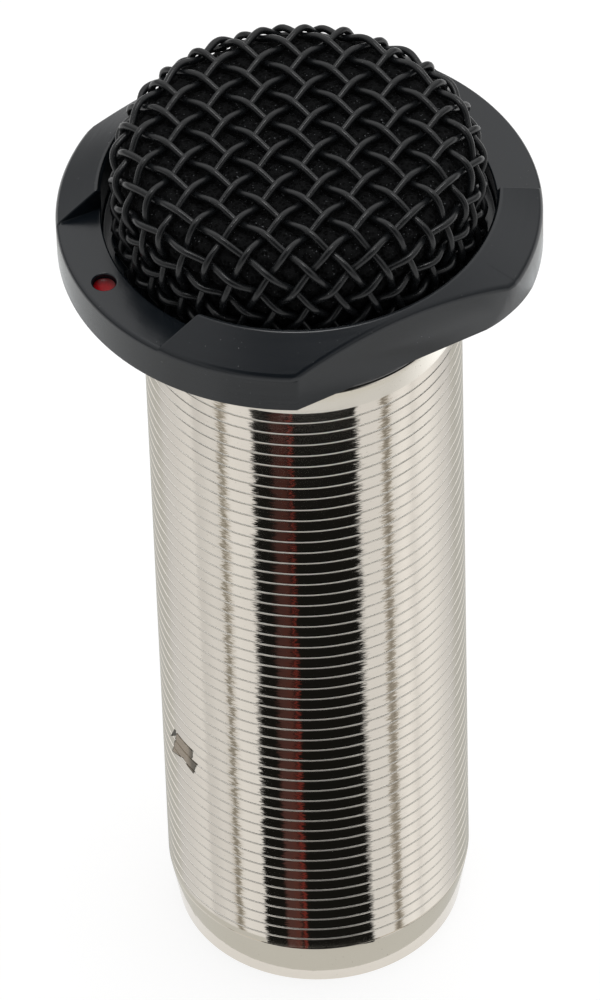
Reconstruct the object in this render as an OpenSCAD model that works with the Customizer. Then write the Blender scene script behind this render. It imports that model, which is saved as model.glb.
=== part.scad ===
// Flush-mount boundary microphone: a threaded nickel-plated barrel with a three-pin plug built
// into its lower end, a black flange, and a low dome of woven wire over a foam windscreen.
// The barrel stands on its lower rim at z = 0 and its axis is Z. The red orientation dot
// lies towards -Y, and the two spanner flats of the flange face +X and -X.

/* [Barrel] */
// Outer diameter over the thread crests
barrel_d = 20.8; // [20.6:0.1:22]
// Outer diameter at the lower rim
rim_d = 19.6; // [19:0.1:20.4]
// Height of the taper above the lower rim
taper_h = 3.9; // [2:0.1:6]
// Height of the barrel, up to the gasket
barrel_h = 57.3; // [54:0.1:66]
// Inner diameter of the socket end
socket_d = 16.4; // [16.2:0.1:17]
// Inner diameter above the socket
bore_d = 18.2; // [17.8:0.1:18.6]
// Depth of the socket, from the rim to the face of the insert
socket_depth = 15.4; // [13:0.1:17]
// Width of the latch recess in the socket wall
latch_w = 4; // [3:0.1:5]
// Depth of the latch recess into the socket wall
latch_depth = 0.9; // [0.5:0.1:1.2]
// Height of the latch recess
latch_h = 3.6; // [2:0.1:5]
// Height of the lower edge of the latch recess
latch_z = 5.4; // [4:0.1:8]
// Chamfer round the socket mouth
mouth_chamfer = 0.4; // [0.2:0.05:0.6]

/* [Gasket] */
// Thickness of the gasket between barrel and flange
gasket_t = 0.15; // [0.1:0.05:0.6]
// How far the gasket stays inside the barrel wall
gasket_inset = 0.2; // [0.1:0.05:0.3]

/* [Flange] */
// Outer diameter of the flange
flange_d = 31.4; // [30:0.1:34]
// Thickness of the flange at its outer edge
flange_t = 2.85; // [2.2:0.05:3.5]
// Rise of the two sloped lands from the outer edge to the grille recess
land_rise = 1.6; // [0.8:0.05:2.2]
// Width across the two spanner flats
flats_w = 27; // [26.6:0.1:29]
// Radius in plan at the two rounded ends of the flats, at the lower edge
flat_corner_r = 9; // [6:0.1:10]
// Width of the slot between the two sloped lands
slot_w = 13.2; // [8:0.1:16]
// Diameter of the recess that holds the grille
recess_d = 25.5; // [25.2:0.05:26]
// Thickness of the recess floor
floor_t = 1.2; // [1:0.05:1.6]
// Bevel of the upper outer edge, which is twice the lower one
edge_r = 0.25; // [0.1:0.05:0.5]
// Bevel round the top of the recess
recess_bevel = 0.3; // [0.1:0.05:0.4]
// Diameter of the neck between the gasket and the flange
neck_d = 20.9; // [20.4:0.1:22]
// Height of the neck
neck_h = 3.95; // [2:0.05:6]
// Length of the spigot inside the barrel
spigot_h = 5; // [3:0.1:8]
// Wall of the spigot
spigot_wall = 1.3; // [1:0.05:1.6]
// Diameter of the orientation dot recess
dot_d = 1.5; // [1:0.1:2]
// Depth of the orientation dot recess
dot_depth = 1; // [0.6:0.1:1.4]
// How far the red filling stays below the surface
dot_sunk = 0.35; // [0.1:0.05:0.5]
// Distance of the dot's centre from the outer edge
dot_inset = 1.6; // [1.2:0.1:1.8]
// How far the dot sits to the left of the middle of the slot
dot_offset = 0.45; // [0:0.05:2]

/* [Grille] */
// Diameter of the wire mesh, through the middle of its wall
grille_d = 23.4; // [22.4:0.1:24]
// Height of the crown over the recess floor
grille_h = 8.1; // [7:0.1:12]
// Radius of the shoulder
shoulder_r = 2.6; // [2:0.1:4]
// Radius of the crown
crown_r = 135; // [60:1:200]
// Thickness of the mesh wall under the wire ridges
mesh_wall = 0.45; // [0.3:0.05:0.5]
// Diameter of the wire
wire_d = 0.5; // [0.4:0.05:0.6]
// Distance between neighbouring wires
wire_pitch = 2.06; // [2:0.02:2.4]
// Direction of the first set of wires, which the second set crosses squarely
wire_angle = 19; // [0:1:45]
// Reach of the gaps from the crown, measured along the mesh
gap_reach = 12.4; // [8:0.1:12.6]
// Height of the ring that holds the mesh
ring_h = 1.6; // [1:0.1:2.4]
// Thickness of the ring that holds the mesh
ring_t = 0.4; // [0.3:0.05:0.8]

/* [Windscreen] */
// Gap between the mesh wall and the foam
foam_gap = 0.3; // [0.2:0.05:1]
// Diameter of the hollow in the foam
foam_bore_d = 17.2; // [16.8:0.1:18]
// Thickness of the foam over the capsule
foam_t = 2.4; // [1.5:0.1:2.6]

/* [Capsule] */
// How far the capsule can stands above the recess floor
can_rise = 1.8; // [1:0.1:2.4]
// Diameter of the capsule can
can_d = 12.4; // [10:0.1:13]
// Height of the capsule can
can_h = 5; // [4:0.1:6]
// Wall of the capsule can
can_wall = 0.4; // [0.3:0.05:0.6]
// Diameter of the sound holes in the can
sound_hole_d = 1; // [0.6:0.1:1.4]
// Thickness of the felt over the sound holes
felt_t = 0.3; // [0.2:0.05:0.5]
// Thickness of the contact board at the back of the capsule
contact_board_t = 0.6; // [0.4:0.1:1]
// Thickness of the lip of the rubber mount
lip_t = 0.8; // [0.5:0.05:1.2]
// How far the lip of the rubber mount reaches over the recess floor
lip_reach = 0.6; // [0.4:0.05:0.8]

/* [Circuit board] */
// Width of the circuit board
board_w = 16.4; // [16:0.1:16.6]
// Thickness of the circuit board
board_t = 1.2; // [0.8:0.1:1.6]
// Depth of the slots that hold the board at both ends
board_slot = 1.4; // [1:0.1:2]
// Diameter of the capacitors
capacitor_d = 5; // [4:0.1:6]
// Length of the capacitors
capacitor_l = 6; // [4:0.1:6]
// Width of the transistor bodies
transistor_d = 4.6; // [4:0.1:5]
// Length of the transistor bodies
transistor_l = 4.8; // [4:0.1:6]
// Space between the two transistors
transistor_space = 1.8; // [0.6:0.1:3]
// Height of the transistors up the board
transistor_up = 9; // [7:0.1:12]
// Length of the transistor legs
leg_l = 2.4; // [1:0.1:4]
// Distance between the transistor legs
leg_pitch = 1.27; // [1:0.01:1.5]
// Diameter of the resistor bodies
resistor_d = 2.2; // [1.6:0.1:2.6]
// Length of the resistor bodies
resistor_l = 6; // [5:0.1:8]
// Diameter of the insulated leads
lead_d = 1; // [0.8:0.1:1.2]

/* [Plug] */
// Height of the insert below the bore's shoulder
insert_body_h = 4.1; // [3:0.1:6]
// Height of the insert above the bore's shoulder
insert_collar_h = 3.5; // [3.2:0.1:5]
// Diameter of the contact pins
pin_d = 2.36; // [2.2:0.02:2.4]
// Diameter of the circle that the pins stand on
pin_circle_d = 7.92; // [7.6:0.02:8.2]
// How far the pin tips stay inside the rim
pin_sunk = 2.4; // [1:0.1:4]
// Diameter of the solder tails of the pins
tail_d = 1.9; // [1.6:0.05:2]
// Length of the solder tails above the insert
tail_l = 4; // [3:0.1:6]
// Diameter of the insert's grub screw
screw_d = 2.5; // [2:0.1:3]
// Length of the insert's grub screw
screw_l = 2.6; // [2:0.1:3]
// Thickness of the earth spring
spring_t = 0.3; // [0.2:0.05:0.4]
// Width of the earth spring
spring_w = 2.6; // [2:0.1:3]

/* [Hidden] */

$fn = 96;
// Clearance between pieces that slide together
fit = 0.1;
// Clearance between soldered or pressed pieces
seat = 0.05;
// Overlap that keeps cuts clean
cut = 1;
// Thickness of bare component leads
bare_wire = 0.5;

// Heights, from the lower rim up
shoulder_z = socket_depth + insert_body_h;
insert_top_z = shoulder_z + insert_collar_h;
screw_z = shoulder_z + insert_collar_h / 2 - 2 * fit;
neck_z = barrel_h + gasket_t;
flange_z = neck_z + neck_h;
edge_z = flange_z + flange_t;
floor_z = flange_z + floor_t;
spigot_z = barrel_h - spigot_h;
board_z = insert_top_z - board_slot + seat;
board_top_z = spigot_z + board_slot - seat;
can_z = floor_z + can_rise - can_h;

// Radii and places across the axis
flange_r = flange_d / 2;
dot_place = [-dot_offset, dot_inset - flange_r, edge_z - dot_depth];
recess_r = recess_d / 2;
spigot_r = bore_d / 2 - fit;
spigot_bore_r = spigot_r - spigot_wall;
board_y = tail_d / 2 + seat;
board_back_y = board_y + board_t;
pin_r = pin_circle_d / 2;

// Middle surface of the wire mesh: a shallow crown, a round shoulder and a straight skirt
grille_r = grille_d / 2;
crown_z = floor_z + grille_h;
shoulder_x = grille_r - shoulder_r;
shoulder_centre_z = crown_z - crown_r + sqrt(pow(crown_r - shoulder_r, 2) - pow(shoulder_x, 2));
shoulder_start = asin(shoulder_x / (crown_r - shoulder_r));
crown_run = crown_r * shoulder_start * PI / 180;
shoulder_run = crown_run + shoulder_r * (90 - shoulder_start) * PI / 180;
mesh_inner = -mesh_wall * 2 / 3;
mesh_outer = mesh_wall / 3;
ring_r = grille_r + mesh_inner - seat;
// Height that the very middle of the crown is cut flat by
crown_flat = 0.005;

// Tilt of the mesh from level at a distance along it from the crown
function mesh_tilt(run) =
  run < crown_run ? run / crown_r * 180 / PI
  : run < shoulder_run ? shoulder_start + (run - crown_run) / shoulder_r * 180 / PI
  : 90;

// Distance from the axis at the same place
function mesh_radius(run) =
  run < crown_run ? crown_r * sin(mesh_tilt(run)) : shoulder_x + shoulder_r * sin(mesh_tilt(run));

// Height at the same place
function mesh_height(run) =
  run < crown_run ? crown_z - crown_r + crown_r * cos(mesh_tilt(run))
  : run < shoulder_run ? shoulder_centre_z + shoulder_r * cos(mesh_tilt(run))
  : shoulder_centre_z - (run - shoulder_run);

// Place of a wire crossing, laid out flat, counted along both sets of wires
function crossing(i, j) =
  wire_pitch * [
    i * cos(wire_angle) - j * sin(wire_angle),
    i * sin(wire_angle) + j * cos(wire_angle)
  ];
crossing_reach = ceil(gap_reach / wire_pitch) + 1;

// Half of the dome's filled section, moved outwards from the middle surface
module dome_section(outwards) {
  intersection() {
    translate([0, crown_z - crown_r])
      circle(r = crown_r + outwards, $fn = 360);
    union() {
      translate([0, floor_z])
        square([grille_r + outwards, shoulder_centre_z - floor_z]);
      translate([0, floor_z])
        square([shoulder_x, grille_h + cut]);
      translate([shoulder_x, shoulder_centre_z])
        circle(r = shoulder_r + outwards);
    }
    translate([0, floor_z])
      square([grille_r + cut, grille_h + outwards - crown_flat]);
  }
}

// Stands its children square to the mesh at a place given in the flat layout
module on_mesh(place) {
  run = norm(place);
  turn = atan2(place[1], place[0]);
  tilt = mesh_tilt(run);
  translate([mesh_radius(run) * cos(turn), mesh_radius(run) * sin(turn), mesh_height(run)])
    rotate([0, 0, turn])
      rotate([0, tilt, 0])
        rotate([0, 0, -turn])
          children();
}

// A straight round bar between two points
module bar(from, to, d) {
  run = to - from;
  translate(from)
    rotate([0, acos(run[2] / norm(run)), atan2(run[1], run[0])])
      cylinder(d = d, h = norm(run), $fn = 32);
}

module barrel() {
  rim_r = rim_d / 2;
  barrel_r = barrel_d / 2;
  color([0.80, 0.77, 0.71])
    difference() {
      rotate_extrude()
        polygon([
          [socket_d / 2 + mouth_chamfer, 0],
          [rim_r, 0],
          [barrel_r, taper_h],
          [barrel_r, barrel_h],
          [bore_d / 2, barrel_h],
          [bore_d / 2, shoulder_z],
          [socket_d / 2, shoulder_z],
          [socket_d / 2, mouth_chamfer]
        ]);
      translate([-latch_w / 2, 0, latch_z])
        cube([latch_w, socket_d / 2 + latch_depth, latch_h]);
      translate([0, bore_d / 2 - cut, screw_z])
        rotate([-90, 0, 0])
          cylinder(d = screw_d + fit, h = barrel_d, $fn = 48);
    }
}

module gasket() {
  color([0.08, 0.08, 0.08])
    translate([0, 0, barrel_h])
      difference() {
        cylinder(r = barrel_d / 2 - gasket_inset, h = gasket_t);
        translate([0, 0, -cut])
          cylinder(r = bore_d / 2 + seat, h = gasket_t + 2 * cut);
      }
}

// What is taken off one end of a flat: a wedge up to the corner, less a cone that opens
// from the rounding at the lower edge to the nearly sharp corner at the upper edge
module flat_end_cut() {
  flat_x = flats_w / 2;
  middle_x = flat_x - flat_corner_r;
  middle = [middle_x, sqrt(pow(flange_r - flat_corner_r, 2) - pow(middle_x, 2))];
  corner = [flat_x, sqrt(pow(flange_r, 2) - pow(flat_x, 2))];
  lower_r = flat_corner_r + seat;
  upper_r = norm(corner - middle) - seat;
  spread = (upper_r - lower_r) / flange_t;
  difference() {
    translate([0, 0, flange_z - cut])
      linear_extrude(flange_t + 2 * cut)
        polygon([middle, middle + [flange_r, 0], middle * (1 + flange_r / norm(middle))]);
    translate([middle[0], middle[1], flange_z - 2 * cut])
      cylinder(
        r1 = lower_r - 2 * cut * spread,
        r2 = upper_r + 2 * cut * spread,
        h = flange_t + 4 * cut
      );
  }
}

module flange() {
  land_z = edge_z + land_rise;
  color([0.16, 0.17, 0.18])
    difference() {
      rotate_extrude() {
        translate([spigot_bore_r, spigot_z])
          square([spigot_wall, floor_z - spigot_z]);
        translate([spigot_bore_r, neck_z])
          square([neck_d / 2 - spigot_bore_r, floor_z - neck_z]);
        translate([spigot_bore_r, flange_z])
          square([recess_r + cut - spigot_bore_r, floor_t]);
        polygon([
          [recess_r, flange_z],
          [flange_r - edge_r / 2, flange_z],
          [flange_r, flange_z + edge_r / 2],
          [flange_r, edge_z - edge_r],
          [flange_r - edge_r, edge_z],
          [recess_r + recess_bevel, land_z],
          [recess_r, land_z - recess_bevel]
        ]);
      }
      translate([-slot_w / 2, -flange_d, edge_z])
        cube([slot_w, 2 * flange_d, land_rise + cut]);
      for (side = [-1, 1])
        translate([side * (flats_w + flange_d) / 2, 0, edge_z])
          cube([flange_d, 2 * flange_d, 4 * flange_t], center = true);
      for (turn = [0, 180])
        rotate([0, 0, turn])
          flat_end_cut();
      translate([0, board_y + board_t / 2, spigot_z])
        cube([board_w + 2 * fit, board_t + 2 * fit, 2 * board_slot], center = true);
      translate(dot_place)
        cylinder(d = dot_d, h = dot_depth + cut, $fn = 48);
    }
}

module orientation_dot() {
  color([0.72, 0.04, 0.06])
    translate(dot_place)
      cylinder(d = dot_d - 2 * seat, h = dot_depth - dot_sunk, $fn = 48);
}

// One ridge where a wire passes over its neighbour, wider than the bar between two gaps
module wire_ridge(direction) {
  ridge_d = 1.5 * wire_d;
  ridge_l = 0.7 * wire_pitch;
  sides = 8;
  rotate([0, 0, direction])
    translate([0, 0, mesh_outer - seat])
      rotate([0, 90, 0])
        rotate([0, 0, 180 / sides])
          cylinder(d = ridge_d, h = ridge_l, center = true, $fn = sides);
}

// Woven wire: a wall of revolution with square gaps, ridged where each wire passes over
module grille_dome() {
  gap_w = wire_pitch - wire_d;
  color([0.10, 0.11, 0.12])
    difference() {
      union() {
        rotate_extrude()
          difference() {
            dome_section(mesh_outer);
            dome_section(mesh_inner);
          }
        for (i = [-crossing_reach:crossing_reach])
          for (j = [-crossing_reach:crossing_reach])
            if (norm(crossing(i, j)) < gap_reach)
              on_mesh(crossing(i, j))
                wire_ridge((i + j) % 2 == 0 ? wire_angle : wire_angle + 90);
      }
      for (i = [-crossing_reach:crossing_reach])
        for (j = [-crossing_reach:crossing_reach])
          if (norm(crossing(i + 0.5, j + 0.5)) < gap_reach)
            on_mesh(crossing(i + 0.5, j + 0.5))
              rotate([0, 0, wire_angle])
                cube([gap_w, gap_w, 4 * mesh_wall], center = true);
    }
}

module grille_ring() {
  color([0.10, 0.11, 0.12])
    translate([0, 0, floor_z])
      difference() {
        cylinder(r = ring_r, h = ring_h);
        translate([0, 0, -cut])
          cylinder(r = ring_r - ring_t, h = ring_h + 2 * cut);
      }
}

module windscreen() {
  foam_out = mesh_inner - foam_gap;
  foam_top_z = crown_z + foam_out - foam_t;
  color([0.05, 0.05, 0.05])
    difference() {
      rotate_extrude()
        difference() {
          dome_section(foam_out);
          translate([ring_r - ring_t - fit, floor_z - cut])
            square([grille_r, ring_h + fit + cut]);
        }
      translate([0, 0, floor_z - cut])
        cylinder(d = foam_bore_d, h = foam_top_z - floor_z + cut);
    }
}

module capsule_mount() {
  mount_r = spigot_bore_r - seat;
  can_r = can_d / 2 + seat;
  color([0.12, 0.12, 0.12])
    difference() {
      union() {
        translate([0, 0, can_z - lip_t])
          cylinder(r = mount_r, h = floor_z - can_z + lip_t);
        translate([0, 0, floor_z])
          cylinder(r = spigot_bore_r + lip_reach, h = lip_t);
      }
      translate([0, 0, can_z])
        cylinder(r = can_r, h = can_h + cut);
      translate([0, 0, can_z - lip_t - cut])
        cylinder(r = can_r - lip_reach, h = lip_t + 2 * cut);
    }
}

module capsule_can() {
  can_r = can_d / 2;
  color([0.75, 0.75, 0.76])
    translate([0, 0, can_z])
      difference() {
        cylinder(r = can_r, h = can_h);
        translate([0, 0, -cut])
          cylinder(r = can_r - can_wall, h = contact_board_t + seat + cut);
        for (turn = [0:60:300])
          rotate([0, 0, turn])
            translate([can_r / 2, 0, can_h - 2 * can_wall])
              cylinder(d = sound_hole_d, h = 2 * can_wall + cut, $fn = 32);
        translate([0, 0, can_h - 2 * can_wall])
          cylinder(d = sound_hole_d, h = 2 * can_wall + cut, $fn = 32);
      }
}

module capsule_felt() {
  color([0.06, 0.06, 0.07])
    translate([0, 0, can_z + can_h])
      cylinder(r = can_d / 2 - can_wall, h = felt_t);
}

module contact_board() {
  color([0.10, 0.35, 0.18])
    translate([0, 0, can_z])
      cylinder(r = can_d / 2 - can_wall - seat, h = contact_board_t);
}

// A lead from the back of the capsule down the face of the circuit board
module capsule_lead(side) {
  x = side * can_d / 5;
  y = board_y - lead_d / 2 - seat;
  foot_z = board_top_z - 3 * board_slot;
  color(side < 0 ? [0.70, 0.08, 0.07] : [0.10, 0.10, 0.11])
    bar([x, y, foot_z], [x, y, can_z], lead_d);
}

module circuit_board() {
  color([0.08, 0.34, 0.17])
    translate([-board_w / 2, board_y, board_z])
      cube([board_w, board_t, board_top_z - board_z]);
}

// A capacitor that stands out from the face of the board
module capacitor(side) {
  apart = 1.6;
  x = side * (capacitor_d + apart) / 2;
  z = board_top_z - 4 * board_slot - capacitor_d;
  color([0.13, 0.16, 0.30])
    translate([x, board_y - seat, z])
      rotate([90, 0, 0])
        cylinder(d = capacitor_d, h = capacitor_l, $fn = 48);
}

// A transistor with its flat side against the board and its three legs on the face
module transistor(side) {
  x = side * (transistor_d + transistor_space) / 2;
  flat_y = transistor_d * 0.3;
  color([0.11, 0.11, 0.12])
    translate([x, board_y - seat, board_z + transistor_up]) {
      translate([0, -flat_y, 0])
        difference() {
          cylinder(d = transistor_d, h = transistor_l, $fn = 48);
          translate([-transistor_d, flat_y, -cut])
            cube([2 * transistor_d, transistor_d, transistor_l + 2 * cut]);
        }
      for (leg = [-1, 0, 1])
        translate([leg * leg_pitch - bare_wire / 2, -bare_wire, -leg_l])
          cube([bare_wire, bare_wire, leg_l + seat]);
    }
}

// A resistor on the back of the board, upright, with both leads bent in to the board
module resistor(place) {
  straight_lead = 1.2;
  reach = resistor_l / 2 + straight_lead;
  middle_y = board_back_y + seat + resistor_d / 2 + bare_wire;
  x = place * board_w / 6;
  z = (board_z + board_top_z) / 2;
  color([0.55, 0.68, 0.78]) {
    bar([x, middle_y, z - resistor_l / 2], [x, middle_y, z + resistor_l / 2], resistor_d);
    bar([x, middle_y, z - reach], [x, middle_y, z + reach], bare_wire);
    for (end = [-1, 1]) {
      translate([x, middle_y, z + end * reach])
        sphere(d = bare_wire, $fn = 24);
      bar([x, board_back_y + seat, z + end * reach], [x, middle_y, z + end * reach], bare_wire);
    }
  }
}

// Place of a pin on its circle: one and two on either side, three towards the dot
function pin_angle(number) = [180, 0, 270][number - 1];

module at_pin(number) {
  rotate([0, 0, pin_angle(number)])
    translate([pin_r, 0, 0])
      children();
}

module connector_insert() {
  color([0.09, 0.09, 0.10])
    difference() {
      union() {
        translate([0, 0, socket_depth])
          cylinder(r = socket_d / 2 - fit, h = insert_body_h + cut);
        translate([0, 0, shoulder_z])
          cylinder(r = bore_d / 2 - fit, h = insert_collar_h);
      }
      for (number = [1:3])
        at_pin(number)
          translate([0, 0, socket_depth - cut])
            cylinder(d = pin_d + 2 * seat, h = insert_body_h + insert_collar_h + 2 * cut, $fn = 48);
      translate([0, board_y + board_t / 2, insert_top_z])
        cube([board_w + 2 * fit, board_t + 2 * fit, 2 * board_slot], center = true);
      translate([0, bore_d / 2 - screw_l / 2 - fit, screw_z])
        rotate([-90, 0, 0])
          cylinder(d = screw_d + fit, h = screw_l, $fn = 48);
    }
}

module pin(number) {
  tip_z = pin_sunk + pin_d / 2;
  body_top_z = insert_top_z - board_slot - 2 * seat;
  color([0.83, 0.80, 0.72])
    at_pin(number)
      difference() {
        union() {
          translate([0, 0, tip_z])
            sphere(d = pin_d, $fn = 48);
          translate([0, 0, tip_z])
            cylinder(d = pin_d, h = body_top_z - tip_z, $fn = 48);
          translate([0, 0, body_top_z - cut])
            cylinder(d = tail_d, h = insert_top_z + tail_l - body_top_z + cut, $fn = 48);
        }
        translate([0, 0, insert_top_z + tail_l / 3])
          cylinder(d = lead_d + 2 * seat, h = tail_l, $fn = 32);
      }
}

// The lead from pin three: up out of its cup and over to the face of the board
module pin_lead() {
  foot = [0, -pin_r, insert_top_z + tail_l / 3 + seat];
  bend = [0, -pin_r, insert_top_z + tail_l + 2 * lead_d];
  pad = [0, board_y - seat, bend[2]];
  color([0.85, 0.72, 0.20]) {
    bar(foot, bend, lead_d);
    translate(bend)
      sphere(d = lead_d, $fn = 32);
    bar(bend, pad, lead_d);
  }
}

// The strip that carries the barrel's earth: flat on the insert, then up along the bore
module earth_spring() {
  foot_l = 3.4;
  rise = 4;
  outer = bore_d / 2 - 3 * fit;
  color([0.80, 0.68, 0.38])
    rotate([0, 0, 225])
      translate([0, spring_w / 2, insert_top_z])
        rotate([90, 0, 0])
          linear_extrude(spring_w)
            polygon([
              [outer - foot_l, 0],
              [outer, 0],
              [outer, rise],
              [outer - spring_t, rise],
              [outer - spring_t, spring_t],
              [outer - foot_l, spring_t]
            ]);
}

module insert_screw() {
  hex_d = screw_d * 0.5;
  color([0.30, 0.30, 0.31])
    translate([0, bore_d / 2 - screw_l / 2, screw_z])
      rotate([-90, 0, 0])
        difference() {
          cylinder(d = screw_d, h = screw_l, $fn = 48);
          translate([0, 0, screw_l / 2])
            cylinder(d = hex_d, h = screw_l, $fn = 6);
        }
}

barrel();
gasket();
flange();
orientation_dot();
grille_dome();
grille_ring();
windscreen();
capsule_mount();
capsule_can();
capsule_felt();
contact_board();
capsule_lead(-1);  // capsule_lead_1
capsule_lead(1);  // capsule_lead_2
circuit_board();
capacitor(-1);  // capacitor_1
capacitor(1);  // capacitor_2
transistor(-1);  // transistor_1
transistor(1);  // transistor_2
resistor(-2);  // resistor_1
resistor(-0.7);  // resistor_2
resistor(0.7);  // resistor_3
resistor(2);  // resistor_4
connector_insert();
pin(1);  // pin_1
pin(2);  // pin_2
pin(3);  // pin_3
pin_lead();
earth_spring();
insert_screw();
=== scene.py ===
"""A flush-mount boundary microphone: its looks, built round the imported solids.

Lengths are in millimetres until a mesh is finished, and the row frame is used throughout: the
barrel's axis is Z, the red dot lies towards -Y, and the two flats face +X and -X.
"""
import math

import bmesh
import bpy
from mathutils import Matrix, Vector, noise


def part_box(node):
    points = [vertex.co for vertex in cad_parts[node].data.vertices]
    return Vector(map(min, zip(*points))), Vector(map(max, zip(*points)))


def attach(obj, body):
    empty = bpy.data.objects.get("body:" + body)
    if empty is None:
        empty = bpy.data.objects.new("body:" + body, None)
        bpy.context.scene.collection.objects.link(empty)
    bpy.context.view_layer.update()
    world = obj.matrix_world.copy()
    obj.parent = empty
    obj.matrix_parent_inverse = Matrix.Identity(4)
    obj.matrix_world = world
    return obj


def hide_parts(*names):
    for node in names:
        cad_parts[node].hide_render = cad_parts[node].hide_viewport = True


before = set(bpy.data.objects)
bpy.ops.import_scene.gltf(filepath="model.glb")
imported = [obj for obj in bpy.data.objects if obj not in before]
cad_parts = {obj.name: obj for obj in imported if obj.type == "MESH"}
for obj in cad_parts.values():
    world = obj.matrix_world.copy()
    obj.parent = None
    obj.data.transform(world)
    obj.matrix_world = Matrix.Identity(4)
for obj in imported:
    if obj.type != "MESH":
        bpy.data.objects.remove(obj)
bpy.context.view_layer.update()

MM = 0.001
QUARTER_TURN = math.pi / 2


def polar(length, degrees):
    """A flat vector from its length and its direction."""
    angle = math.radians(degrees)
    return Vector((length * math.cos(angle), length * math.sin(angle)))


def put_in_scene(name, data):
    """A new object with that name and data."""
    thing = bpy.data.objects.new(name, data)
    bpy.context.scene.collection.objects.link(thing)
    return thing


# Camera, found from the barrel's outline and thread in the photo
VIEW_AZIMUTH = 61.3
VIEW_ELEVATION = 45.668
VIEW_DISTANCE = 578.8
VIEW_ROLL = -1.836
VIEW_LENS = 313.085
VIEW_SENSOR = 36
VIEW_CLIP_M = (0.01, 20)
AIM = Vector((-0.2625, -0.4794, 37.2403))

# Barrel
BARREL_R = 10.4
BARREL_H = 57.3
BARREL_STEPS = 128
RIM_R = 9.8
RIM_EASE = 0.03
TAPER_H = 3.9
EDGE_BREAK = 0.05
SOCKET_R = 8.2
BORE_R = 9.1
SHOULDER_Z = 19.5
MOUTH_CHAMFER = 0.4
LATCH_W = 4.0
LATCH_DEPTH = 0.9
LATCH_H = 3.6
LATCH_Z = 5.4
LATCH_CUT = 2.0
SCREW_HOLE_R = 1.3
SCREW_HOLE_STEPS = 40
SCREW_Z = 21.05
DRILL_LENGTH = 4.0
COLLAR_TOP_R = 10.33
COLLAR_START = 0.02

# The barrel's thread. A groove is a run of points across it, each with its share of the half
# width and its share of the depth.
THREAD_PITCH = 1.0
THREAD_TURNS = 53
THREAD_TOP = 55.77
THREAD_RUN_OUT = 0.12
GROOVE_DEPTH = 0.12
GROOVE_HALF_W = 0.088
GROOVE_Z = 54.87
GROOVE_AZIMUTH = -28.7
GROOVE_SHAPE = ((-1, 0), (-0.75, 0.13), (-0.18, 1), (0.18, 1), (0.75, 0.13), (1, 0))

# Flange, with its neck and its spigot inside the barrel
FLANGE_R = 15.7
FLANGE_Z = 61.4
FLANGE_STEPS = 180
EDGE_Z = 64.25
LAND_Z = 65.85
FLOOR_Z = 62.6
RECESS_R = 12.75
RECESS_BEVEL = 0.3
RECESS_CURVE = ((1, 0), (0.617, 0.076), (0.293, 0.293), (0.076, 0.617), (0, 1))
NECK_R = 10.45
NECK_Z = 57.45
NECK_CHAMFER = 0.21
SPIGOT_R = 9.0
SPIGOT_BORE_R = 7.7
SPIGOT_Z = 52.3
SLOT_W = 13.2
SLOT_CUT = 10.0
BOARD_SLOT = (16.6, 1.4, 2.8)
BOARD_MIDDLE_Y = 1.6

# Each flat, with the curve that rounds one of its ends, and how close to the corner at that end
# points lie that are made one
FLAT_X = 13.5
FLAT_CORNER_R = 9.0
FLAT_END_STEPS = 24
FLAT_END_EASE = 0.05
NEAR_FLAT = 0.3
NEAR_OUTLINE = 0.15
NEAR_EDGE = 0.2
JOIN_WITHIN = 0.15

# The thickness of the flange's paint rounds its edges. Each gets a share, by where it is.
PAINT_ROUNDING = 0.32
PAINT_SEGMENTS = 4
ROUNDED_ANGLE = 24
STEEP_EDGE = 0.5
STEEP_SHARE = 0.0
INNER_FROM = 0.4
INNER_SHARE = 0.4
OUTER_UPPER_SHARE = 1.0
OUTER_LOWER_SHARE = 0.12

# Orientation dot: its hole in the slot's floor, and its enamel, whose top is a hollow curve
DOT_PLACE = Vector((-0.45, -14.1))
DOT_HOLE_R = 0.75
DOT_HOLE_Z = 63.25
DOT_STEPS = 48
DOT_R = 0.7
DOT_TOP_Z = 63.9
DOT_HOLLOW = 0.14
DOT_HOLLOW_POWER = 0.7
DOT_RINGS = (0.94, 0.86, 0.74, 0.58, 0.4, 0.2, 0.0)

# Woven wire dome: its middle surface is a shallow crown, a round shoulder and a straight skirt
CROWN_Z = 70.66
CROWN_R = 135.0
SHOULDER_R = 2.6
SKIRT_R = 11.7
BEND_R = SKIRT_R - SHOULDER_R
BEND_Z = CROWN_Z - CROWN_R + math.sqrt((CROWN_R - SHOULDER_R) ** 2 - BEND_R**2)
CROWN_TILT = math.asin(BEND_R / (CROWN_R - SHOULDER_R))
CROWN_RUN = CROWN_R * CROWN_TILT
WIRE_R = 0.24
WIRE_ROUNDNESS = 3
WIRE_LIFT = 0.245
WIRE_END_Z = FLOOR_Z + 0.1
WEAVE_CENTRE = Vector((-0.040, -0.159))
STEP_A = polar(2.099, 17.1)
STEP_B = polar(2.028, 111.2)
WEAVE_TIGHTENING = -0.031
TIGHTENING_REACH = 11.0
WIRES_EACH_WAY = 11
SAMPLES_A_STEP = 14

# Foam windscreen, under the dome's middle surface and round the ring that holds the mesh
RING_TOP_Z = 64.3
INSIDE_RING_R = 10.8
FOAM_INSET = 0.60
FOAM_RUN = 16.9
FOAM_RINGS = 74
FOAM_STEPS = 220
FOAM_BORE_R = 8.6
FOAM_THICKNESS = 2.4
FOAM_FOOT_GAP = 0.02
FOAM_LUMPY_ABOVE = 0.5
FOAM_LUMPY_OUTSIDE = 1
FOAM_LUMPY_PAST_RING = 0.05
FOAM_BULGE = 0.38
FOAM_ROUGHNESS = 0.08
LUMPS_EACH_MM = 1.5
LUMP_OCTAVES = 3
PITS_EACH_MM = 4.0

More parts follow.
